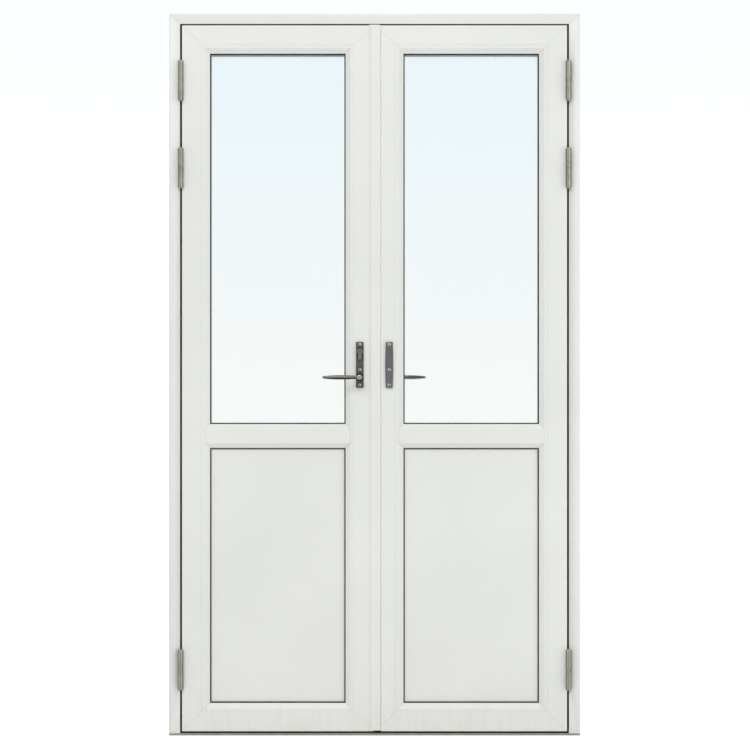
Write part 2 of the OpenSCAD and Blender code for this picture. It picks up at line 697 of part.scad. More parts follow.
// Inside lever with the square spindle fixed in it
module inside_lever(s) color(pewter) on_side(s) {
    translate([lever_x, leaf_t + plate_t, lever_z]) mirror([0, 1, 0]) lever_body();
    block([lever_x - spindle / 2, s < 0 ? -lever_out + 10.5 : 20, lever_z - spindle / 2],
        [lever_x + spindle / 2, leaf_t + plate_t, lever_z + spindle / 2]);
}

module plate_holes(y0, y1, hub = true) {
    if (hub) bar_y(lever_x, lever_z, y0 - 1, y1 + 1, hub_dia / 2 + pin_play);
    face_screws(false);
    back_screws(false);
}
module outside_plate() color(pewter) on_side(-1) difference() {
    union() {
        plate_body(-plate_t, 0);
        collar(-plate_t - collar_t, -plate_t + 1);
    }
    plate_holes(-plate_t, 0);
    euro_profile(-plate_t - 5, 1, 0.1);
}
module inside_plate(s) color(pewter) on_side(s) difference() {
    union() {
        plate_body(leaf_t, leaf_t + plate_t);
        if (s < 0) collar(leaf_t + plate_t - 1, leaf_t + plate_t + collar_t);
    }
    plate_holes(leaf_t, leaf_t + plate_t);
    if (s < 0) euro_profile(leaf_t - 1, leaf_t + plate_t + 5, 0.1);
}
// Raised oval round the lock cylinder
module collar(y0, y1) rounded_plate(lever_x, cylinder_z - 26.5, collar_w, collar_h, y0, y1, 9.5);

// Blind plate with bowed sides
module blind_plate() color(pewter) on_side(1) difference() {
    swell = 1.5;
    half_w = 10 + swell;
    bow = (plate_h * plate_h / 4 + swell * swell) / (2 * swell);
    intersection() {
        block([lever_x - plate_w, -plate_t, plate_z], [lever_x + plate_w, 0, plate_z + plate_h]);
        bar_y(lever_x - bow + half_w, plate_z + plate_h / 2, -plate_t - 1, 1, bow, $fn = 720);
        bar_y(lever_x + bow - half_w, plate_z + plate_h / 2, -plate_t - 1, 1, bow, $fn = 720);
    }
    plate_holes(-plate_t, 0, false);
}

// Profile of a lock cylinder: round barrel over a narrow stem
module euro_profile(y0, y1, grow = 0) {
    bar_y(lever_x, cylinder_z, y0, y1, barrel_r + grow);
    block([lever_x - stem_r - grow, y0, cylinder_z - stem_drop - grow],
        [lever_x + stem_r + grow, y1, cylinder_z]);
    bar_y(lever_x, cylinder_z - stem_drop, y0, y1, stem_r + grow);
}
plug_r = 6;
module lock_cylinder() color(zinc) on_side(-1) difference() {
    euro_profile(-plate_t - 3, leaf_t + plate_t + 3);
    bar_y(lever_x, cylinder_z, -plate_t - 4, clad_d, plug_r + pin_play);
}
module key_plug() color(steel) on_side(-1) difference() {
    bar_y(lever_x, cylinder_z, -plate_t - 3.4, clad_d, plug_r);
    block([lever_x - 0.9, -plate_t - 5, cylinder_z - 4], [lever_x + 0.9, clad_d - 4, cylinder_z + 3.6]);
}

module screws(s) color(steel) on_side(s) {
    leaf_flap_screws();
    face_screws();
    back_screws();
}

jamb_left();
jamb_right();
head();
threshold();
frame_cladding();
rebate_seals();
hinge_frame_halves();
hinge_pins();
keeps();
fixing_sleeves();
frame_screws();
for (leaf = [["left", -1], ["right", 1]]) {
    name = leaf[0];
    s = leaf[1];
    hinge_stile(s);
    lock_stile(s);
    end_rails(s);
    mid_rail(s);
    cladding(s);
    mid_cladding(s);
    glass(s);
    spacers(s);
    gaskets(s);
    setting_blocks(s);
    panel_skins(s);
    panel_core(s);
    leaf_halves(s);
    faceplate(s);
    screws(s);
    case(s);
    follower(s);
    upper_rod(s);
    lower_rod(s);
    inside_plate(s);
    inside_lever(s);
}
outside_plate();
outside_lever();
lock_cylinder();
key_plug();
blind_plate();
cover_strip();
meeting_seal();
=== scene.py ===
import json
import math

import bmesh
import bpy
from mathutils import Matrix, Vector


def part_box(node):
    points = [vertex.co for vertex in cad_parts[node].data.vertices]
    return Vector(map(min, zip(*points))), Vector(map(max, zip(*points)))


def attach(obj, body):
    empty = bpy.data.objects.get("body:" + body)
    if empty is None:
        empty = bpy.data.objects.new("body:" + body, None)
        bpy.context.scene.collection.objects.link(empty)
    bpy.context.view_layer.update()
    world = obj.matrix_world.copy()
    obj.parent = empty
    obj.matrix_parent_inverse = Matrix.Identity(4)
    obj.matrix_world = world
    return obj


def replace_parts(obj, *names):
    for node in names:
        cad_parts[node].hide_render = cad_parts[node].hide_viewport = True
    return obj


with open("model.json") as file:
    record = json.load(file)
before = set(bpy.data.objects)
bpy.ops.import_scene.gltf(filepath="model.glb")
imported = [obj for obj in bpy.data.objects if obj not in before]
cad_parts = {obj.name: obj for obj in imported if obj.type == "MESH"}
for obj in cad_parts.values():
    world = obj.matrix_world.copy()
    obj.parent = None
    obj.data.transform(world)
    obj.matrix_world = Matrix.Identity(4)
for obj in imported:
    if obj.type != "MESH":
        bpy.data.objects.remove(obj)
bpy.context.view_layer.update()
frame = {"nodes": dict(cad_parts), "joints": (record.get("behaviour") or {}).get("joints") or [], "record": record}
print("frame loaded:", len(frame["nodes"]), "nodes")

joints = {joint["name"]: joint for joint in frame["joints"]}
bodyOf = {node: body for body, nodes in frame["record"]["behaviour"]["bodies"].items() for node in nodes}
slotOf = {part["node"]: part["material_slot"] for part in frame["record"]["subparts"]}
mm = 0.001


class Flow:
    # a socket that takes part in Python expressions: each operator adds a Math node
    def __init__(self, shader, socket):
        self.shader, self.socket = shader, socket

    def maths(self, operation, other, swap=False):
        pair = (other, self) if swap else (self, other)
        return self.shader.node("Math", {0: pair[0], 1: pair[1]}, operation=operation)

    def __add__(self, other):
        return self.maths("ADD", other)

    def __sub__(self, other):
        return self.maths("SUBTRACT", other)

    def __rsub__(self, other):
        return self.maths("SUBTRACT", other, True)

    def __mul__(self, other):
        return self.maths("MULTIPLY", other)

    def __pow__(self, other):
        return self.maths("POWER", other)

    __radd__ = __add__
    __rmul__ = __mul__

    def magnitude(self):
        return self.shader.node("Math", {0: self}, operation="ABSOLUTE")


class Shader:
    def __init__(self, name, kind="materials"):
        self.owner = getattr(bpy.data, kind).new(name)
        self.owner.use_nodes = True
        self.tree = self.owner.node_tree
        self.tree.nodes.clear()

    def node(self, kind, sockets=None, out=0, **settings):
        # the settings come first, then each socket takes a value or a link
        made = self.tree.nodes.new("ShaderNode" + kind)
        for name, value in settings.items():
            setattr(made, name, value)
        for key, value in (sockets or {}).items():
            if isinstance(value, Flow):
                self.tree.links.new(value.socket, made.inputs[key])
            else:
                made.inputs[key].default_value = value
        return Flow(self, made.outputs[out])

    def objectPlace(self, stretch=(1, 1, 1)):
        place = self.node("TexCoord", out="Object")
        return place if stretch == (1, 1, 1) else self.node("Mapping", {"Vector": place, "Scale": stretch})

    def axis(self, letter):
        return self.node("SeparateXYZ", {0: self.node("TexCoord", out="Object")}, out="XYZ".index(letter))

    def noise(self, scale, detail=2.0, stretch=(1, 1, 1), rough=0.5):
        return self.node("TexNoise", {"Vector": self.objectPlace(stretch), "Scale": scale, "Detail": detail,
                                      "Roughness": rough})

    def between(self, value, low, high, start=0.0, end=1.0):
        # start at low and end at high, and held there outside them
        return self.node("MapRange", {"Value": value, "From Min": low, "From Max": high, "To Min": start,
                                      "To Max": end})

    def blend(self, factor, first, second):
        colours = {0: factor, 6: first if isinstance(first, Flow) else (*first, 1),
                   7: second if isinstance(second, Flow) else (*second, 1)}
        return self.node("Mix", colours, out=2, data_type="RGBA")

    def relief(self, height, strength, distance):
        return self.node("Bump", {"Height": height, "Strength": strength, "Distance": distance})

    def close(self, surface, **sockets):
        made = self.node(surface, {key.replace("_", " "): value for key, value in sockets.items()})
        return self.output(made)

    def output(self, made):
        target = "World" if isinstance(self.owner, bpy.types.World) else "Material"
        end = self.tree.nodes.new("ShaderNodeOutput" + target)
        self.tree.links.new(made.socket, end.inputs["Surface"])
        return self.owner


# powder coat with faint orange peel, and dust streaks up to grimeTop metres above the floor
coat = {"tone": (0.815, 0.825, 0.785), "shade": (0.775, 0.785, 0.745), "rough": 0.36, "peel": 900,
        "peelDepth": 0.03, "grime": (0.50, 0.475, 0.42), "grimeTop": 0.16, "grimeShare": 0.16,
        "grimeRough": 0.12}


def coatedMetal(name):
    sh = Shader(name)
    cloud = sh.noise(2.6, 4)
    speckle = sh.noise(420, 2)
    tone = sh.blend(sh.between(cloud, 0.35, 0.65), coat["tone"], coat["shade"])
    low = sh.between(sh.axis("Z"), coat["grimeTop"], 0.0)
    streak = sh.between(sh.noise(9, 5, (9, 9, 1)), 0.42, 0.75)
    tone = sh.blend(low * streak * coat["grimeShare"], tone, coat["grime"])
    peel = sh.noise(coat["peel"], 1)
    rough = coat["rough"] + sh.between(cloud, 0.3, 0.7, 0.0, 0.07) + sh.between(speckle, 0.3, 0.7, 0.0, 0.05)
    return sh.close("BsdfPrincipled", Base_Color=tone, Roughness=rough + low * streak * coat["grimeRough"],
                    Normal=sh.relief(peel, coat["peelDepth"], 0.0006), IOR=1.5)


# brushed paint with the grain and the knots just showing through
paint = {"tone": (0.80, 0.795, 0.745), "shade": (0.745, 0.735, 0.68), "rough": 0.34,
         "knots": (0.72, 0.68, 0.60), "knotShare": 0.22, "grainDepth": 0.16, "varnish": 0.15}


def paintedTimber(name, grain):
    # grain is the direction of the boards: "Z" for stiles and jambs, "X" for rails
    along = (60, 60, 2.2) if grain == "Z" else (2.2, 60, 60)
    sh = Shader(name)
    brush = sh.noise(6, 5, along, 0.6)
    fibre = sh.noise(22, 3, along, 0.7)
    cloud = sh.noise(3.4, 3)
    tone = sh.blend(sh.between(cloud, 0.35, 0.68), paint["tone"], paint["shade"])
    knot = sh.between(sh.noise(5.5, 1), 0.68, 0.76)
    tone = sh.blend(knot * paint["knotShare"], tone, paint["knots"])
    rough = paint["rough"] + sh.between(brush, 0.3, 0.7, 0.0, 0.12)
    grainRelief = sh.relief(brush + fibre * 0.5, paint["grainDepth"], 0.0008)
    return sh.close("BsdfPrincipled", Base_Color=tone, Roughness=rough, Coat_Weight=paint["varnish"],
                    Coat_Roughness=0.3, Normal=grainRelief, IOR=1.5)


# where a lever gets painted shade under its grip and a painted highlight on its head, in millimetres from its axis
leverAt = joints["active_handle_turn"]["pos_m"]
leverPaintedLight = {"neck": abs(leverAt[0]), "level": leverAt[2], "highlightEdge": (8.4, 7.2), "shadeEdge": (-0.2, -3.0),
            "under": (0.045, 0.042, 0.034), "highlightTone": (0.43, 0.42, 0.385), "highlightShare": 0.85}
# painted shade on the flanks of a hinge barrel: how dark, from and to these distances from its axis
paintedBarrelShade = {"edge": (4.2, 7.0), "share": 0.75, "tone": 0.3}


def drawnMetal(name, tones, along, rough, lines, depth, worn, paintedLeverLight=False, barrelAt=None):
    # rolled, extruded or brushed metal with fine lines along one direction, and stains in the worn tone
    stretch = {"X": (0.02, 1, 1), "Y": (1, 0.02, 1), "Z": (1, 1, 0.02)}[along]
    sh = Shader(name)
    line = sh.noise(lines, 3, stretch, 0.6)
    cloud = sh.noise(38, 4)
    stain = sh.between(sh.noise(140, 5), 0.40, 0.72)
    tone = sh.blend(sh.between(cloud, 0.34, 0.66), tones[0], tones[1])
    tone = sh.blend(stain * worn, tone, tones[2])
    if paintedLeverLight:
        # painted shade under the grip, and a painted highlight on the round head
        fromNeck = (sh.axis("X").magnitude() - leverPaintedLight["neck"]).magnitude()
        head = sh.between(fromNeck, *(edge * mm for edge in leverPaintedLight["highlightEdge"]))
        under = sh.between(sh.axis("Z"), *(leverPaintedLight["level"] + edge * mm for edge in leverPaintedLight["shadeEdge"]))
        tone = sh.blend(under * (1 - head), tone, leverPaintedLight["under"])
        tone = sh.blend(head * leverPaintedLight["highlightShare"], tone, leverPaintedLight["highlightTone"])
    if barrelAt:
        # painted shade where the barrels turn away towards the jamb and the leaf
        fromBarrel = (sh.axis("X").magnitude() - barrelAt).magnitude()
        side = sh.between(fromBarrel, *(edge * mm for edge in paintedBarrelShade["edge"]))
        tone = sh.blend(side * paintedBarrelShade["share"], tone, tuple(c * paintedBarrelShade["tone"] for c in tones[1]))
    return sh.close("BsdfPrincipled", Base_Color=tone, Metallic=1.0,
                    Roughness=rough + sh.between(line, 0.3, 0.7, 0.0, 0.14) + stain * 0.08,
                    Normal=sh.relief(line, depth, 0.0004))


def rubber(name):
    sh = Shader(name)
    bloom = sh.between(sh.noise(60, 5), 0.42, 0.70)
    tone = sh.blend(bloom * 0.5, (0.010, 0.011, 0.010), (0.026, 0.027, 0.025))
    skin = sh.noise(1600, 2)
    return sh.close("BsdfPrincipled", Base_Color=tone, Roughness=0.58 + bloom * 0.2,
                    Normal=sh.relief(skin, 0.15, 0.0003), IOR=1.48)


# headOn is the share of light that a pane reflects square on
glazing = {"tint": (0.992, 0.998, 0.995), "headOn": 0.034, "film": (0.96, 0.97, 0.97), "falloff": 5}


def clearGlass(name):
    sh = Shader(name)
    wave = sh.noise(2.0, 2)
    smear = sh.between(sh.noise(14, 5), 0.55, 0.85)
    through = sh.node("BsdfTransparent", {"Color": (*glazing["tint"], 1)})
    ripple = sh.relief(wave, 0.02, 0.002)
    mirror = sh.node("BsdfPrincipled", {"Base Color": (*glazing["film"], 1), "Metallic": 1.0,
                                        "Roughness": 0.004 + smear * 0.03, "Normal": ripple})
    # the share of reflection is the same on both sides of a pane, so thin glass never turns into a mirror
    facing = sh.node("LayerWeight", {"Blend": 0.5, "Normal": ripple}, out="Facing")
    share = glazing["headOn"] + facing ** glazing["falloff"] * (1 - glazing["headOn"])
    return sh.output(sh.node("MixShader", {0: share, 1: through, 2: mirror}))


def foam(name):
    sh = Shader(name)
    cell = sh.node("TexVoronoi", {"Vector": sh.objectPlace(), "Scale": 900.0})
    tone = sh.blend(cell, (0.70, 0.60, 0.36), (0.82, 0.74, 0.50))
    return sh.close("BsdfPrincipled", Base_Color=tone, Roughness=0.9, Normal=sh.relief(cell, 0.6, 0.0008))


def spacerMetal(name):
    # satin bars with the row of fine breathing holes that face the cavity; the holes are only painted dark and
    # bumped, as painted shade
    sh = Shader(name)
    bore = sh.node("TexVoronoi", {"Vector": sh.objectPlace(), "Scale": 320.0, "Randomness": 0.15})
    paintedHoleShade = sh.between(bore, 0.16, 0.10)
    tone = sh.blend(paintedHoleShade * 0.7, (0.50, 0.51, 0.48), (0.10, 0.10, 0.10))
    return sh.close("BsdfPrincipled", Base_Color=tone, Metallic=0.8, Roughness=0.42 + paintedHoleShade * 0.3,
                    Normal=sh.relief(1 - paintedHoleShade, 0.2, 0.0004))


# tones are the main one, the cloudy one and the worn one; lines is how fine the drawn lines are
metals = {
    "threshold_alloy": dict(
        name="sillAlloy", tones=((0.42, 0.40, 0.355), (0.36, 0.345, 0.305), (0.56, 0.54, 0.50)),
        along="X", rough=0.40, lines=300, depth=0.14, worn=0.3),
    "hinge_zinc": dict(
        name="hingeZinc", tones=((0.46, 0.46, 0.36), (0.38, 0.385, 0.30), (0.58, 0.58, 0.48)),
        along="Z", rough=0.30, lines=420, depth=0.06, worn=0.3,
        barrelAt=abs(joints["active_leaf_hinge"]["pos_m"][0])),
    "bright_steel": dict(
        name="platedSteel", tones=((0.60, 0.61, 0.62), (0.50, 0.51, 0.52), (0.70, 0.69, 0.64)),
        along="Z", rough=0.26, lines=500, depth=0.06, worn=0.2),
    "pewter": dict(
        name="pewter", tones=((0.125, 0.122, 0.116), (0.10, 0.099, 0.096), (0.20, 0.195, 0.185)),
        along="Z", rough=0.30, lines=520, depth=0.06, worn=0.35),
    "blindPewter": dict(
        name="blindPewter", tones=((0.18, 0.183, 0.19), (0.15, 0.153, 0.16), (0.24, 0.242, 0.25)),
        along="Z", rough=0.34, lines=520, depth=0.05, worn=0.3),
    "leverPewter": dict(
        name="leverPewter", tones=((0.187, 0.181, 0.157), (0.150, 0.145, 0.127), (0.27, 0.26, 0.225)),
        along="X", rough=0.26, lines=520, depth=0.04, worn=0.3, paintedLeverLight=True),
    # the inside levers: a lighter copy of the lever pewter, painted light as if lit from behind
    "paintedBacklitPewter": dict(
        name="paintedBacklitPewter", tones=((0.47, 0.47, 0.44), (0.40, 0.40, 0.375), (0.56, 0.55, 0.52)),
        along="X", rough=0.28, lines=520, depth=0.04, worn=0.3),
    "shadowPewter": dict(
        name="shadowPewter", tones=((0.070, 0.068, 0.063), (0.052, 0.051, 0.048), (0.11, 0.107, 0.10)),
        along="Z", rough=0.34, lines=520, depth=0.05, worn=0.3),
    # near-black painted shade for the screw slots, the hinge seams and the ring round each lever's foot
    "paintedShade": dict(
        name="paintedRecessShade", tones=((0.030, 0.029, 0.026), (0.022, 0.021, 0.019), (0.06, 0.058, 0.052)),
        along="Z", rough=0.5, lines=300, depth=0.05, worn=0.3),
    "cylinder_nickel": dict(
        name="satinNickel", tones=((0.25, 0.24, 0.225), (0.19, 0.185, 0.172), (0.36, 0.345, 0.32)),
        along="Z", rough=0.28, lines=600, depth=0.05, worn=0.25),
}
finishes = {
    "painted_aluminium": coatedMetal("powderCoat"),
    "timberUpright": paintedTimber("paintedUprights", "Z"),
    "timberAcross": paintedTimber("paintedRails", "X"),
    "seal_rubber": rubber("sealRubber"),
    "clear_glass": clearGlass("clearGlass"),
    "spacer_alloy": spacerMetal("spacerBars"),
    "panel_foam": foam("panelFoam"),
}
finishes.update({slot: drawnMetal(**look) for slot, look in metals.items()})


def finishFor(node):
    # painted timber takes its grain from the board's direction
    slot = slotOf[node]
    if slot == "painted_timber":
        return finishes["timberUpright" if "jamb" in node or "stile" in node else "timberAcross"]
    return finishes[slot]


for node, obj in frame["nodes"].items():
    obj.data.materials.clear()
    obj.data.materials.append(finishFor(node))
print("finishes made:", len(finishes))


def newPiece(name, bm, finish, body, smoothAngle=None, second=None):
    mesh = bpy.data.meshes.new(name)
    bm.to_mesh(mesh)
    bm.free()
    mesh.materials.append(finish)
    if second:
        mesh.materials.append(second)
    if smoothAngle is not None:
        mesh.shade_smooth()
        mesh.set_sharp_from_angle(angle=math.radians(smoothAngle))
    obj = bpy.data.objects.new(name, mesh)
    bpy.context.scene.collection.objects.link(obj)
    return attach(obj, body)


# how a CAD node's loose triangles are merged, and what counts as a sharp edge or a curve, in degrees
merging = {"gap": 0.002 * mm, "flat": 0.3, "sharp": 28, "curve": (0.5, 20)}


def weldedCopy(node):
    bm = bmesh.new()
    bm.from_mesh(frame["nodes"][node].data)
    bmesh.ops.remove_doubles(bm, verts=bm.verts, dist=merging["gap"])
    return bm


def mergedCopy(node):
    bm = weldedCopy(node)
    bmesh.ops.dissolve_limit(bm, angle_limit=math.radians(merging["flat"]), verts=bm.verts, edges=bm.edges)
    return bm


def sharpEdges(bm, shortest, along=None):
    # the long convex edges, or of these only the ones along one axis
    picked = []
    for edge in bm.edges:
        if along is not None and abs((edge.verts[1].co - edge.verts[0].co).normalized()[along]) < 0.99:
            continue
        if len(edge.link_faces) == 2 and edge.calc_length() > shortest and edge.is_convex:
            if edge.calc_face_angle(0) > math.radians(merging["sharp"]):
                picked.append(edge)
    return picked


def soften(bm, edges, width, segments=2):
    # rounds these edges; only the narrow new faces are shaded smooth
    made = bmesh.ops.bevel(bm, geom=edges, offset=width, segments=segments, profile=0.5, affect="EDGES",
                           material=-1, clamp_overlap=False)
    for face in made["faces"]:
        if face.calc_area() < face.calc_perimeter() * width:
            face.smooth = True


def curvedFacesSmooth(bm):
    # facets of bores and rounds are shaded smooth, and flats stay flat
    least, most = merging["curve"]
    for face in bm.faces:
        for edge in face.edges:
            if len(edge.link_faces) == 2 and least < math.degrees(edge.calc_face_angle(0)) < most:
                face.smooth = True


def softCopy(name, node, width, shortest, shift=None, along=None):
    # shift moves single vertices of the copy before its edges are eased
    bm = mergedCopy(node)
    for vert in bm.verts:
        if shift:
            vert.co += shift(vert.co)
    curvedFacesSmooth(bm)
    soften(bm, sharpEdges(bm, shortest, along=along), width)
    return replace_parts(newPiece(name, bm, finishFor(node), bodyOf[node]), node)


def islands(node):
    # the separate solids of a CAD node, each as (lowest corner, highest corner, vertices)
    bm = weldedCopy(node)
    left, found = set(bm.verts), []
    while left:
        queue, group = [left.pop()], []
        while queue:
            vert = queue.pop()
            group.append(vert.co.copy())
            for edge in vert.link_edges:
                other = edge.other_vert(vert)
                if other in left:
                    left.discard(other)
                    queue.append(other)
        low = Vector([min(co[i] for co in group) for i in range(3)])
        high = Vector([max(co[i] for co in group) for i in range(3)])
        found.append((low, high, group))
    bm.free()
    return sorted(found, key=lambda island: [round(value, 4) for value in island[0].zyx])


def lathe(outline, steps=40):
    # outline is (radius, height) pairs in millimetres, turned round Z
    bm = bmesh.new()
    points = [bm.verts.new((radius * mm, 0, height * mm)) for radius, height in outline]
    edges = [bm.edges.new(pair) for pair in zip(points, points[1:])]
    bmesh.ops.spin(bm, geom=points + edges, cent=(0, 0, 0), axis=(0, 0, 1), angle=2 * math.pi, steps=steps,
                   use_merge=True)
    bmesh.ops.remove_doubles(bm, verts=bm.verts, dist=0.001 * mm)
    bmesh.ops.recalc_face_normals(bm, faces=bm.faces)
    return bm


def drawnOut(stations, segments=32):
    # a tapering bar along X: each station is (distance, half depth, half height) in millimetres
    bm = bmesh.new()
    ring = bmesh.ops.create_circle(bm, cap_ends=True, segments=segments, radius=mm)["verts"]
    bmesh.ops.rotate(bm, verts=ring, cent=(0, 0, 0), matrix=Matrix.Rotation(math.pi / 2, 3, "Y"))
    bmesh.ops.scale(bm, vec=(1, stations[0][1], stations[0][2]), verts=ring)
    bmesh.ops.translate(bm, vec=(stations[0][0] * mm, 0, 0), verts=ring)
    edges = bm.edges[:]
    for (x0, depth0, height0), (x1, depth1, height1) in zip(stations, stations[1:]):
        made = bmesh.ops.extrude_edge_only(bm, edges=edges)["geom"]
        verts = [item for item in made if isinstance(item, bmesh.types.BMVert)]
        fresh = set(verts)
        edges = [item for item in made if isinstance(item, bmesh.types.BMEdge) and set(item.verts) <= fresh]
        bmesh.ops.scale(bm, vec=(1, depth1 / depth0, height1 / height0), verts=verts)
        bmesh.ops.translate(bm, vec=((x1 - x0) * mm, 0, 0), verts=verts)
    bmesh.ops.holes_fill(bm, edges=edges)
    bmesh.ops.recalc_face_normals(bm, faces=bm.faces)
    return bm


def boxShape(low, high, easing=0.0):
    bm = bmesh.new()
    bmesh.ops.create_cube(bm, size=1)
    size, centre = high - low, (high + low) / 2
    bmesh.ops.scale(bm, vec=size, verts=bm.verts)
    bmesh.ops.translate(bm, vec=centre, verts=bm.verts)
    if easing:
        bmesh.ops.bevel(bm, geom=bm.edges[:], offset=easing, segments=2, profile=0.5, affect="EDGES",
                        material=-1)
    return bm


def moved(bm, matrix):
    bmesh.ops.transform(bm, matrix=matrix, verts=bm.verts)
    if matrix.determinant() < 0:
        bmesh.ops.reverse_faces(bm, faces=bm.faces)
    return bm


def joined(parts):
    whole = bmesh.new()
    for part in parts:
        scratch = bpy.data.meshes.new("scratch")
        part.to_mesh(scratch)
        part.free()
        whole.from_mesh(scratch)
        bpy.data.meshes.remove(scratch)
    return whole


def turnTo(direction):
    # turns Z towards a direction
    return Vector((0, 0, 1)).rotation_difference(Vector(direction)).to_matrix().to_4x4()


# extrusions and boards that get eased edges: new name, width and shortest edge in millimetres
easing = {
    "frame_cladding": ("frameCladding", 0.45, 6), "threshold": ("thresholdExtrusion", 0.4, 6),
    "jamb_left": ("leftJambBoard", 1.0, 12), "jamb_right": ("rightJambBoard", 1.0, 12),
    "head": ("headBoard", 1.0, 12), "rebate_seals": ("rebateSeals", 1.2, 6),
}
leafEasing = {
    "cladding": ("Cladding", 0.35, 6), "mid_cladding": ("MidCladding", 0.35, 6),
    "hinge_stile": ("HingeStile", 0.8, 9), "lock_stile": ("LockStile", 0.8, 9),
    "end_rails": ("EndRails", 0.8, 9), "mid_rail": ("MidRail", 0.8, 9), "glass": ("Panes", 0.5, 10),
    "panel_skins": ("PanelSkins", 0.3, 10), "gaskets": ("Gaskets", 0.3, 6),
    "faceplate": ("Faceplate", 0.4, 3),
}
for leaf in ("left", "right"):
    easing.update({leaf + "_" + node: (leaf + name, *sizes) for node, (name, *sizes) in leafEasing.items()})
for node, (name, width, shortest) in easing.items():
    # the middle cladding's clipped ends stay as they are
    softCopy(name, node, width * mm, shortest * mm, along=0 if "mid_cladding" in node else None)
print("frame and leaves eased")

# the cover strip laps close to the passive leaf and rises over the gap under the head, by millimetres
stripLook = {"wing": 0.8, "rise": 4.0, "easing": 0.45}
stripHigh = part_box("cover_strip")[1]
softCopy("coverStrip", "cover_strip", stripLook["easing"] * mm, 6 * mm,
         lambda co: Vector((stripLook["wing"] * mm if co.x > stripHigh.x - 0.5 * mm else 0, 0,
                            stripLook["rise"] * mm if co.z > stripHigh.z - 20 * mm else 0)))


def extruded(outline, low, high, axis="Z"):
    # a flat outline in millimetres, drawn out along one axis from low to high in metres
    bm = bmesh.new()
    place = {"Z": lambda u, v: (u * mm, v * mm, low), "X": lambda u, v: (low, u * mm, v * mm)}[axis]
    face = bm.faces.new([bm.verts.new(place(u, v)) for u, v in outline])
    made = bmesh.ops.extrude_face_region(bm, geom=[face])["geom"]
    verts = [item for item in made if isinstance(item, bmesh.types.BMVert)]
    reach = (0, 0, high - low) if axis == "Z" else (high - low, 0, 0)
    bmesh.ops.translate(bm, vec=reach, verts=verts)
    bmesh.ops.recalc_face_normals(bm, faces=bm.faces)
    return bm


# the meeting seal: a hollow-looking bulb with a curved fin that rests against the passive leaf
sealLook = {
    "profile": [(10.0, -1.5), (10.8, -1.3), (12.2, -1.2), (13.4, -0.9), (15.0, -1.6), (17.0, -2.6),
                (19.2, -3.2), (21.0, -3.3), (21.7, -2.9), (21.6, -2.3), (20.8, -2.0), (19.2, -1.9),
                (17.4, -1.2), (15.6, -0.2), (14.4, 0.9), (14.2, 2.0), (14.4, 3.2), (15.6, 4.4),
                (17.4, 5.3), (19.6, 5.8), (21.3, 5.6), (22.2, 5.8), (22.3, 6.3), (21.4, 6.7),
                (19.4, 6.9), (17.2, 6.5), (15.2, 5.8), (13.4, 5.6), (12.0, 5.9), (11.2, 6.2), (10.0, 6.5)],
    "revealStrip": {"thick": 1.0, "front": -54.0, "back": -20.0, "foot": 6},
}
sealLow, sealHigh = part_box("meeting_seal")
obj = newPiece("meetingSeal", extruded(sealLook["profile"], sealLow.z, sealHigh.z), finishes["seal_rubber"],
               bodyOf["meeting_seal"], 30)
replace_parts(obj, "meeting_seal")

# flat weather strips glued to the reveal of the jambs and the head, deep in the gap round the leaves, whose dark
# rubber also serves as painted shade in the gap
strip = sealLook["revealStrip"]
revealCorners = [v.co for v in frame["nodes"]["frame_cladding"].data.vertices]
reveal = abs(max(co.x for co in revealCorners if co.x < 0 and co.z < 1)) / mm
soffit = min(co.z for co in revealCorners if co.z > 2) / mm
front, back, thick = strip["front"], strip["back"], strip["thick"]
section = [(0, front), (0.6 * thick, front + 0.6), (thick, front + 1.6), (thick, back - 1.0),
           (0.6 * thick, back - 0.3), (0, back)]  # how far it stands off the reveal, and its depth
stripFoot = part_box("left_cladding")[0].z + strip["foot"] * mm
strips = [extruded([(side * (reveal - off), depth) for off, depth in section], stripFoot, soffit * mm)
          for side in (-1, 1)]
strips.append(extruded([(depth, soffit - off) for off, depth in section], (thick - reveal) * mm,
                       (reveal - thick) * mm, "X"))
newPiece("revealStrips", joined(strips), finishes["seal_rubber"], "frame", 35)
print("strip and seals made")


# raised slotted heads on the plates, which spread past their CAD heads, and flush ones in the hinge flaps
screwLook = {"rise": 1.2, "flushRise": 0.25, "slotWidth": 2.0, "slotDepth": 1.6, "spread": 1.16, "shank": 2}


def sunk(bm, half, depth, picked):
    # a groove between two planes at x = -half and half: the faces in it go down, and take the second finish
    for side in (-1, 1):
        faces = [face for face in bm.faces if picked(face)]
        near = set(faces)
        for face in faces:
            near.update(face.edges)
            near.update(face.verts)
        bmesh.ops.bisect_plane(bm, geom=list(near), plane_co=(side * half, 0, 0), plane_no=(1, 0, 0),
                               dist=1e-7)
    floor = [face for face in bm.faces if picked(face) and abs(face.calc_center_median().x) < half]
    before = set(bm.faces) - set(floor)
    made = bmesh.ops.extrude_face_region(bm, geom=floor)["geom"]
    bmesh.ops.translate(bm, vec=depth, verts=[item for item in made if isinstance(item, bmesh.types.BMVert)])
    for face in set(bm.faces) - before:
        face.material_index = 1
    return bm


def screwShape(length, radius, shank, rise):
    bm = lathe([(0, rise), (radius * 0.4, rise * 0.94), (radius * 0.75, rise * 0.6),
                (radius * 0.97, rise * 0.12), (radius, 0), (shank, -2.4), (shank, -length + 2),
                (0.3, -length), (0, -length)], 24)
    return sunk(bm, screwLook["slotWidth"] / 2 * mm, Vector((0, 0, -screwLook["slotDepth"] * mm)),
                lambda face: face.calc_center_median().z > 0)


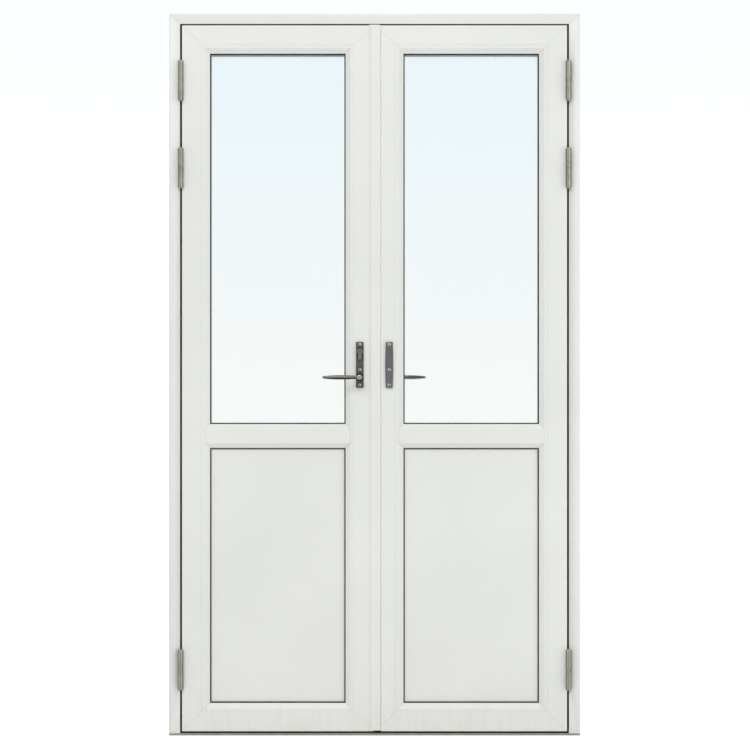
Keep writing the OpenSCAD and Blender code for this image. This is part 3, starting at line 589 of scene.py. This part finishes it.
def screwsFor(name, node):
    # a screw's head is at the end of its solid that reaches further from its axis
    parts = []
    for low, high, points in islands(node):
        size = high - low
        along = max(range(3), key=lambda i: size[i])
        middle = (low + high) / 2
        reach = {}
        for end, at in ((-1, low[along]), (1, high[along])):
            close = [co for co in points if abs(co[along] - at) < 0.3 * mm]
            reach[end] = max(math.dist([co[i] for i in range(3) if i != along],
                                       [middle[i] for i in range(3) if i != along]) for co in close)
        end = max(reach, key=reach.get)
        facing = Vector([end if i == along else 0 for i in range(3)])
        spread = screwLook["spread"] if along == 1 else 1
        shape = screwShape(size[along] / mm, reach[end] / mm * spread, screwLook["shank"],
                           screwLook["rise" if along == 1 else "flushRise"])
        seat = Vector([(high if end > 0 else low)[i] if i == along else middle[i] for i in range(3)])
        parts.append(moved(shape, Matrix.Translation(seat) @ turnTo(facing)))
    # the sunk slots take the near-black second finish: painted shade
    obj = newPiece(name, joined(parts), finishes["bright_steel"], bodyOf[node], 35,
                   finishes["paintedShade"])
    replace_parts(obj, node)


for name, node in (("frameScrews", "frame_screws"), ("leftScrews", "left_screws"),
                   ("rightScrews", "right_screws")):
    screwsFor(name, node)
print("screws cut")


# turned knuckles with ringed ends and a seam, and their flaps
hingeLook = {"ring": 2.6, "ringDepth": 0.35, "collar": 4.2, "flapEase": 0.3, "seam": 0.9, "seamDepth": 0.8}


def knuckleShape(length, radius):
    # stands on its joint at 0 and ends in a stepped dome
    ring, deep, collar = (hingeLook[key] for key in ("ring", "ringDepth", "collar"))
    bm = lathe([(0, 0), (radius - 0.5, 0), (radius, 0.5), (radius, ring), (radius - deep, ring + 0.3),
                (radius - deep, ring + 0.8), (radius, ring + 1.1), (radius, length - collar - 0.6),
                (radius - deep, length - collar - 0.3), (radius - deep, length - collar + 0.2),
                (radius, length - collar + 0.5), (radius, length - 2.6), (radius - 0.4, length - 2.0),
                (radius - 1.4, length - 1.55), (radius - 3.0, length - 1.4), (radius - 3.1, length - 0.9),
                (radius - 3.8, length - 0.3), (radius - 5.5, length), (0, length)], 48)
    low, high = (ring + 1.0) * mm, (length - collar - 0.5) * mm
    return sunk(bm, hingeLook["seam"] / 2 * mm, Vector((0, hingeLook["seamDepth"] * mm, 0)),
                lambda face: face.calc_center_median().y < 0 and low < face.calc_center_median().z < high)


def hingeHalves(name, node, finish):
    parts = []
    for low, high, points in islands(node):
        joint = joints["active_leaf_hinge" if high.x < 0 else "passive_leaf_hinge"]
        pivot = Vector(joint["pos_m"])
        radius = (pivot.y - low.y) / mm
        leafHalf = bodyOf[node] != "frame"
        shape = knuckleShape((high.z - low.z) / mm, radius)
        foot = Matrix.Translation((pivot.x, pivot.y, low.z if leafHalf else high.z))
        parts.append(moved(shape, foot @ Matrix.Diagonal((1, 1, 1 if leafHalf else -1, 1))))
        flap = [co for co in points if co.y > 0.5 * mm + pivot.y + radius * mm]
        flapLow = Vector([min(co[i] for co in flap) for i in range(3)])
        flapHigh = Vector([max(co[i] for co in flap) for i in range(3)])
        flapLow.y = pivot.y
        parts.append(boxShape(flapLow, flapHigh, hingeLook["flapEase"] * mm))
    # the sunk seams take the near-black second finish: painted shade
    obj = newPiece(name, joined(parts), finish, bodyOf[node], 40, finishes["paintedShade"])
    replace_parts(obj, node)


for name, node in (("frameHingeHalves", "hinge_frame_halves"), ("leftHingeHalves", "left_hinge_halves"),
                   ("rightHingeHalves", "right_hinge_halves")):
    hingeHalves(name, node, finishes["hinge_zinc"])
print("hinges turned")


# a turned neck with a round head, as (radius, height), and a grip that swells and tapers, in millimetres;
# gripShare shortens the outside grip
leverLook = {
    "neck": [(0, -6.6), (8.9, -6.6), (8.9, 1.8), (7.4, 2.15), (6.5, 2.9), (6.0, 4.4), (5.8, 8), (5.7, 20),
             (5.8, 30), (6.1, 33.4), (6.8, 34.6), (7.2, 35.8), (7.2, 45.2), (6.9, 46.4), (6.1, 47.1),
             (4.0, 47.45), (0, 47.5)],
    "collar": [(8.0, 0.2), (10.6, 0.25), (10.9, 0.6), (10.9, 2.6), (10.5, 3.3), (9.6, 3.6), (8.6, 3.4),
               (8.0, 2.8), (8.0, 0.2)],
    "grip": [(0, 4.4, 4.6), (6, 4.9, 5.1), (9, 5.0, 5.2), (14, 4.9, 5.1), (24, 5.1, 5.4), (38, 5.4, 6.0),
             (56, 5.5, 6.4), (70, 5.4, 6.3), (84, 4.9, 5.6), (95, 4.3, 4.6), (102, 3.9, 4.1),
             (106, 3.4, 3.5), (108.4, 2.7, 2.7), (109.5, 1.8, 1.8), (109.9, 0.8, 0.8)],
    "headFrom": 41.0, "gripShare": {-1: 0.973, 1: 1.0}, "spindle": 7.0,
}


def faceOf(plateNode, outward):
    # the plane of a plate's own face, behind any raised collar: the level that holds its foot
    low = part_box(plateNode)[0]
    foot = [v.co.y for v in frame["nodes"][plateNode].data.vertices if v.co.z < low.z + 0.5 * mm]
    return min(foot) if outward < 0 else max(foot)


def leverShape(gripShare):
    # stands out along Z, and its grip points along X
    neck = lathe(leverLook["neck"], 48)
    grip = drawnOut([(distance * gripShare, *halves) for distance, *halves in leverLook["grip"]])
    return joined([neck, moved(grip, Matrix.Translation((0, 0, leverLook["headFrom"] * mm)) @
                               Matrix.Rotation(-math.pi / 2, 4, "X"))])


def lever(name, node, joint, plateNode, outward):
    # outward is the side that the lever stands on: -1 outside, 1 inside
    axis, face = Vector(joints[joint]["pos_m"]), faceOf(plateNode, outward)
    along, out = Vector((-1 if axis.x < 0 else 1, 0, 0)), Vector((0, outward, 0))
    turn = Matrix((along, along.cross(out), out)).transposed().to_4x4()
    place = Matrix.Translation((axis.x, face, axis.z)) @ turn
    parts = [moved(leverShape(leverLook["gripShare"][outward]), place)]
    if outward > 0:
        half, start = leverLook["spindle"] / 2 * mm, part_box(node)[0].y
        parts.append(boxShape(Vector((axis.x - half, start, axis.z - half)),
                              Vector((axis.x + half, face, axis.z + half)), 0.3 * mm))
    # the inside levers take the lighter copy of the pewter: painted light
    finish = finishes["leverPewter" if outward < 0 else "paintedBacklitPewter"]
    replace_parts(newPiece(name, joined(parts), finish, bodyOf[node], 35), node)
    # a near-black ring round the lever's foot: painted shade
    newPiece(name + "Collar", moved(lathe(leverLook["collar"], 48), place), finishes["paintedShade"], bodyOf[node],
             35)


lever("outsideLever", "outside_lever", "active_handle_turn", "outside_plate", -1)
lever("leftInsideLever", "left_inside_lever", "active_handle_turn", "left_inside_plate", 1)
lever("rightInsideLever", "right_inside_lever", "passive_handle_turn", "right_inside_plate", 1)
print("levers turned")


# rounded rims on the plates and on the raised oval round the cylinder, in millimetres; an edge turns by
# more than edgeTurn radians, and nearEdge is how close to the outline a rim lies
plateLook = {"rim": 1.1, "ovalRim": 0.7, "nearEdge": 3.2, "edgeTurn": 0.45, "level": 0.01, "raised": 1.0}


def plate(name, node, outward, finish):
    low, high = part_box(node)
    centre, half = (low + high) / 2, (high - low) / 2
    face = faceOf(node, outward)
    outer = low.y if outward < 0 else high.y
    raised = abs(outer - face) > plateLook["raised"] * mm
    near = plateLook["nearEdge"] * mm
    bm = mergedCopy(node)
    curvedFacesSmooth(bm)

    def rimEdges(level, inside):
        return [edge for edge in bm.edges if len(edge.link_faces) == 2
                and edge.calc_face_angle(0) > plateLook["edgeTurn"]
                and all(abs(vert.co.y - level) < plateLook["level"] * mm for vert in edge.verts)
                and inside((edge.verts[0].co + edge.verts[1].co) / 2)]

    def nearOutline(at):
        return abs(at.x - centre.x) > half.x - near or abs(at.z - centre.z) > half.z - near

    if raised:
        oval = [vert.co for vert in bm.verts if abs(vert.co.y - outer) < plateLook["level"] * mm]
        top, foot = max(co.z for co in oval), min(co.z for co in oval)
        radius = max(abs(co.x - centre.x) for co in oval)

        def outsideOval(at):
            level = min(max(at.z, foot + radius), top - radius)
            return math.hypot(at.x - centre.x, at.z - level) > radius - 0.35 * mm

        soften(bm, rimEdges(outer, outsideOval), plateLook["ovalRim"] * mm, 3)
    rim = rimEdges(face, nearOutline)
    if raised:
        # the oval's own foot keeps its sharp line, and the plate's outline beside it is rounded
        rim = [edge for edge in rim if not foot < edge.verts[0].co.z < top
               or abs(edge.verts[0].co.x - centre.x) > half.x - 0.1 * mm]
    soften(bm, rim, plateLook["rim"] * mm, 3)
    if raised:
        # the raised oval's face takes the darker shadowPewter finish: painted shade
        for item in bm.faces:
            if abs(item.calc_center_median().y - outer) < 0.05 * mm:
                item.material_index = 1
    obj = newPiece(name, bm, finish, bodyOf[node], second=finishes["shadowPewter"])
    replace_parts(obj, node)


plate("outsidePlate", "outside_plate", -1, finishes["pewter"])
plate("blindPlate", "blind_plate", -1, finishes["blindPewter"])
plate("leftInsidePlate", "left_inside_plate", 1, finishes["pewter"])
plate("rightInsidePlate", "right_inside_plate", 1, finishes["pewter"])
cylinderEase = {"width": 0.15, "shortest": 3}
for name, node in (("lockCylinder", "lock_cylinder"), ("keyPlug", "key_plug")):
    softCopy(name, node, cylinderEase["width"] * mm, cylinderEase["shortest"] * mm)
print("plates and cylinder rounded")


# the camera stands square on to the pair, at about half its height
view = {"eye": (0.0014, -4.8575, 1.0436), "lens": 79.6, "near": 0.05, "far": 200}
camera = bpy.data.objects.new("camera", bpy.data.cameras.new("camera"))
camera.data.lens = view["lens"]
camera.data.sensor_width = 36
camera.data.clip_start, camera.data.clip_end = view["near"], view["far"]
camera.location = view["eye"]
camera.rotation_euler = (math.radians(90), 0, 0)
bpy.context.scene.collection.objects.link(camera)
bpy.context.scene.camera = camera
bpy.context.scene.view_settings.view_transform = "Standard"

# two soft lamps, and a surround that is paler above and behind than in front; shown is what the camera sees
studio = {
    "key": {"at": (-1.5, -8.0, 6.5), "aim": (0, 0, 1.0), "size": (5.0, 3.4), "watts": 292,
            "tint": (1.0, 0.985, 0.975)},
    "fill": {"at": (3.6, -2.6, 1.9), "aim": (0, 0, 1.0), "size": (2.2, 2.6), "watts": 26,
             "tint": (0.97, 0.99, 1.0)},
    "front": (0.41, 0.41, 0.415), "above": (0.78, 0.78, 0.785), "behindLow": (1.10, 1.10, 1.10),
    "behindHigh": (0.965, 1.045, 1.13), "shown": (1.02, 1.02, 1.02),
    "floor": (0.84, 0.84, 0.83), "floorGlow": 0.5, "floorRadius": 9,
}
for name in ("key", "fill"):
    spec = studio[name]
    lamp = bpy.data.objects.new(name, bpy.data.lights.new(name, "AREA"))
    lamp.data.shape = "RECTANGLE"
    lamp.data.size, lamp.data.size_y = spec["size"]
    lamp.data.energy = spec["watts"]
    lamp.data.color = spec["tint"]
    lamp.location = spec["at"]
    lamp.rotation_euler = (Vector(spec["aim"]) - Vector(spec["at"])).to_track_quat("-Z", "Y").to_euler()
    bpy.context.scene.collection.objects.link(lamp)

sky = Shader("studioSurround", "worlds")
direction = sky.node("TexCoord", out="Generated")
ahead = sky.node("SeparateXYZ", {0: direction}, out="Y")
upward = sky.node("SeparateXYZ", {0: direction}, out="Z")
behind = sky.blend(sky.between(upward, 0.0, 0.2), studio["behindLow"], studio["behindHigh"])
near = sky.blend(sky.between(upward, 0.05, 0.85), studio["front"], studio["above"])
seen = sky.node("LightPath", out="Is Camera Ray")
around = sky.blend(sky.between(ahead, -0.2, 0.75), sky.blend(seen, near, studio["shown"]), behind)
bpy.context.scene.world = sky.output(sky.node("Background", {"Color": around, "Strength": 1.0}))

floorMesh = bmesh.new()
bmesh.ops.create_circle(floorMesh, cap_ends=True, segments=96, radius=studio["floorRadius"])
floorSheet = Shader("paleFloor")
pale = floorSheet.blend(floorSheet.noise(1.2, 3), studio["floor"], tuple(c * 0.985 for c in studio["floor"]))
glow = floorSheet.node("LightPath", out="Is Camera Ray") * studio["floorGlow"]
floorFinish = floorSheet.close("BsdfPrincipled", Base_Color=pale, Roughness=0.7, Emission_Color=(1, 1, 1, 1),
                               Emission_Strength=glow)
mesh = bpy.data.meshes.new("floor")
floorMesh.to_mesh(mesh)
floorMesh.free()
mesh.materials.append(floorFinish)
floor = bpy.data.objects.new("floor", mesh)
bpy.context.scene.collection.objects.link(floor)
print("studio set")
